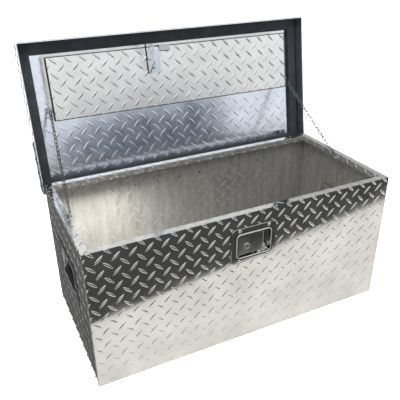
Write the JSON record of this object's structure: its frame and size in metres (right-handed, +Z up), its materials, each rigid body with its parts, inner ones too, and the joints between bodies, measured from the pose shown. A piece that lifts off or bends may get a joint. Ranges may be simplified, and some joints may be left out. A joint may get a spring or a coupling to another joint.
{
  "type": "truck tool box",
  "caption": "Tread-plate chest with a hinged pan lid, flush paddle latch, recessed folding end handles, foam seal and lid chains.",
  "frame": {"origin": "centre of the underside of the box body", "axes": "+X to the right along the box, seen from the front; the front with the latch faces -Y; +Z up; the lid stands open at rest"},
  "size_m": [0.77, 0.456, 0.6636],
  "materials": {
    "tread_plate": "bright rolled tread plate",
    "hinge_metal": "mill",
    "rivet_metal": "polished",
    "latch_metal": "polished stainless",
    "lock_chrome": "polished",
    "handle_metal": "zinc plated",
    "zinc_steel": "bright zinc plated",
    "chain_steel": "zinc plated",
    "foam_seal": "closed-cell foam",
    "gasket_rubber": "matt",
    "vinyl_grip": "satin vinyl"
  },
  "bodies": {
    "box": {"end_panel_left": "tread_plate", "end_panel_right": "tread_plate", "wrap_sheet": "tread_plate", "hinge_leaf_box": "hinge_metal", "hinge_pin": "zinc_steel", "hinge_rivets_box": "rivet_metal", "latch_gasket": "gasket_rubber", "latch_dish": "latch_metal", "latch_studs": "rivet_metal", "latch_housing": "zinc_steel", "paddle_pin": "zinc_steel", "paddle_spring": "zinc_steel", "bolt_spring": "zinc_steel", "handle_pan_left": "handle_metal", "handle_pan_right": "handle_metal", "handle_rivets_left": "rivet_metal", "handle_rivets_right": "rivet_metal", "chain_anchor_box_left": "zinc_steel", "chain_anchor_box_right": "zinc_steel", "chain_left": "chain_steel", "chain_right": "chain_steel"},
    "lid": {"lid_shell": "tread_plate", "seal_front": "foam_seal", "seal_back": "foam_seal", "seal_left": "foam_seal", "seal_right": "foam_seal", "stiffener": "tread_plate", "striker": "zinc_steel", "striker_screws": "zinc_steel", "stop_clip": "handle_metal", "hinge_leaf_lid": "hinge_metal", "hinge_rivets_lid": "rivet_metal", "chain_anchor_lid_left": "zinc_steel", "chain_anchor_lid_right": "zinc_steel"},
    "paddle": {"paddle": "latch_metal", "lock_barrel": "lock_chrome"},
    "lock": {"lock_plug": "lock_chrome", "lock_cam": "zinc_steel"},
    "bolt": {"slide_bolt": "zinc_steel"},
    "bail_left": {"bail_left": "zinc_steel", "grip_left": "vinyl_grip"},
    "bail_right": {"bail_right": "zinc_steel", "grip_right": "vinyl_grip"}
  },
  "joints": [
    {"name": "lid_hinge", "type": "hinge", "parent": "box", "child": "lid", "pos_m": [0, 0.1755, 0.314], "axis": [1, 0, 0], "range_deg": [0, 100], "deforming": ["chain_left", "chain_right"]},
    {"name": "paddle_pivot", "type": "hinge", "parent": "box", "child": "paddle", "pos_m": [-0.035, -0.1655, 0.264], "axis": [0, 0, -1], "range_deg": [0, 24], "stiffness_Nm_per_rad": 0.3, "springref_deg": -17.19},
    {"name": "bolt_slide", "type": "slide", "parent": "box", "child": "bolt", "axis": [1, 0, 0], "range_m": [0, 0.011], "deforming": ["bolt_spring"]},
    {"name": "lock_turn", "type": "hinge", "parent": "paddle", "child": "lock", "pos_m": [-0.017, -0.172, 0.26], "axis": [0, 1, 0], "range_deg": [0, 90]},
    {"name": "handle_left_swing", "type": "hinge", "parent": "box", "child": "bail_left", "pos_m": [-0.374, 0, 0.222], "axis": [0, 1, 0], "range_deg": [0, 90]},
    {"name": "handle_right_swing", "type": "hinge", "parent": "box", "child": "bail_right", "pos_m": [0.374, 0, 0.222], "axis": [0, -1, 0], "range_deg": [0, 90]}
  ],
  "couplings": [
    {"joint": "bolt_slide", "follows": "paddle_pivot", "m_per_rad": 0.0245}
  ]
}
